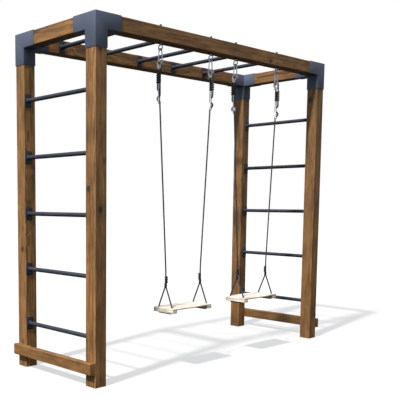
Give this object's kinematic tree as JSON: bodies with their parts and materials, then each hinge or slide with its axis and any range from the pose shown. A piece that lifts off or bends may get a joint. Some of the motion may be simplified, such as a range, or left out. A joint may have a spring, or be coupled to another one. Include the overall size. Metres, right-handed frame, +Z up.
{
  "type": "monkey bars with swings",
  "caption": "Timber play frame with a ladder of steel rungs at each end, steel monkey bars across the top and two rope swings under the front beam.",
  "frame": {"origin": "middle of the bounding box at ground level", "axes": "+X along the long beams to the right, +Y from the swings to the back, +Z up"},
  "size_m": [2.5106, 0.8554, 2.2503],
  "materials": {
    "timber": "stained softwood with knots, satin",
    "sleeve": "grey-blue powder coat on folded steel",
    "bar": "dark grey powder coat on steel tube",
    "zinc": "zinc plated steel wire",
    "bolt": "dark plated steel",
    "rope": "laid charcoal rope, matt",
    "adjuster": "off-white moulded plastic",
    "seat_wood": "pale sanded board, satin"
  },
  "bodies": {
    "frame": {"post_front_left": "timber", "post_front_right": "timber", "beam_front": "timber", "post_back_left": "timber", "post_back_right": "timber", "beam_back": "timber", "end_beam_left": "timber", "foot_rail_left": "timber", "end_beam_right": "timber", "foot_rail_right": "timber", "corner_sleeve_front_left": "sleeve", "corner_sleeve_front_right": "sleeve", "corner_sleeve_back_left": "sleeve", "corner_sleeve_back_right": "sleeve", "rung_left_1": "bar", "rung_left_2": "bar", "rung_left_3": "bar", "rung_left_4": "bar", "rung_left_5": "bar", "rung_right_1": "bar", "rung_right_2": "bar", "rung_right_3": "bar", "rung_right_4": "bar", "rung_right_5": "bar", "monkey_bar_1": "bar", "monkey_bar_2": "bar", "monkey_bar_3": "bar", "monkey_bar_4": "bar", "monkey_bar_5": "bar", "eye_bolt_left_left": "bolt", "eye_bolt_left_right": "bolt", "eye_bolt_right_left": "bolt", "eye_bolt_right_right": "bolt"},
    "swing_left": {"carabiner_left_left": "zinc", "rope_adjuster_left_left": "adjuster", "swing_rope_left_left": "rope", "carabiner_left_right": "zinc", "rope_adjuster_left_right": "adjuster", "swing_rope_left_right": "rope"},
    "seat_left": {"seat_board_left": "seat_wood", "seat_cleat_left_left": "seat_wood", "seat_rope_left_left": "rope", "seat_cleat_left_right": "seat_wood", "seat_rope_left_right": "rope"},
    "gate_left_left": {"carabiner_gate_left_left": "zinc"},
    "gate_left_right": {"carabiner_gate_left_right": "zinc"},
    "swing_right": {"carabiner_right_left": "zinc", "rope_adjuster_right_left": "adjuster", "swing_rope_right_left": "rope", "carabiner_right_right": "zinc", "rope_adjuster_right_right": "adjuster", "swing_rope_right_right": "rope"},
    "seat_right": {"seat_board_right": "seat_wood", "seat_cleat_right_left": "seat_wood", "seat_rope_right_left": "rope", "seat_cleat_right_right": "seat_wood", "seat_rope_right_right": "rope"},
    "gate_right_left": {"carabiner_gate_right_left": "zinc"},
    "gate_right_right": {"carabiner_gate_right_right": "zinc"}
  },
  "joints": [
    {"name": "swing_left_pivot", "type": "hinge", "parent": "frame", "child": "swing_left", "pos_m": [-0.3825, -0.34025, 2.098], "axis": [1, 0, 0], "range_deg": [-60, 60]},
    {"name": "seat_left_tilt", "type": "hinge", "parent": "swing_left", "child": "seat_left", "pos_m": [-0.3825, -0.34025, 0.562], "axis": [1, 0, 0], "range_deg": [-30, 30]},
    {"name": "gate_left_left_hinge", "type": "hinge", "parent": "swing_left", "child": "gate_left_left", "pos_m": [-0.64592, -0.34025, 2.03936], "axis": [0, 1, 0], "range_deg": [0, 20], "stiffness_Nm_per_rad": 0.05, "springref_deg": -11.46},
    {"name": "gate_left_right_hinge", "type": "hinge", "parent": "swing_left", "child": "gate_left_right", "pos_m": [-0.15242, -0.34025, 2.03936], "axis": [0, 1, 0], "range_deg": [0, 20], "stiffness_Nm_per_rad": 0.05, "springref_deg": -11.46},
    {"name": "swing_right_pivot", "type": "hinge", "parent": "frame", "child": "swing_right", "pos_m": [0.3825, -0.34025, 2.098], "axis": [1, 0, 0], "range_deg": [-60, 60]},
    {"name": "seat_right_tilt", "type": "hinge", "parent": "swing_right", "child": "seat_right", "pos_m": [0.3825, -0.34025, 0.562], "axis": [1, 0, 0], "range_deg": [-30, 30]},
    {"name": "gate_right_left_hinge", "type": "hinge", "parent": "swing_right", "child": "gate_right_left", "pos_m": [0.11908, -0.34025, 2.03936], "axis": [0, 1, 0], "range_deg": [0, 20], "stiffness_Nm_per_rad": 0.05, "springref_deg": -11.46},
    {"name": "gate_right_right_hinge", "type": "hinge", "parent": "swing_right", "child": "gate_right_right", "pos_m": [0.61258, -0.34025, 2.03936], "axis": [0, 1, 0], "range_deg": [0, 20], "stiffness_Nm_per_rad": 0.05, "springref_deg": -11.46}
  ]
}
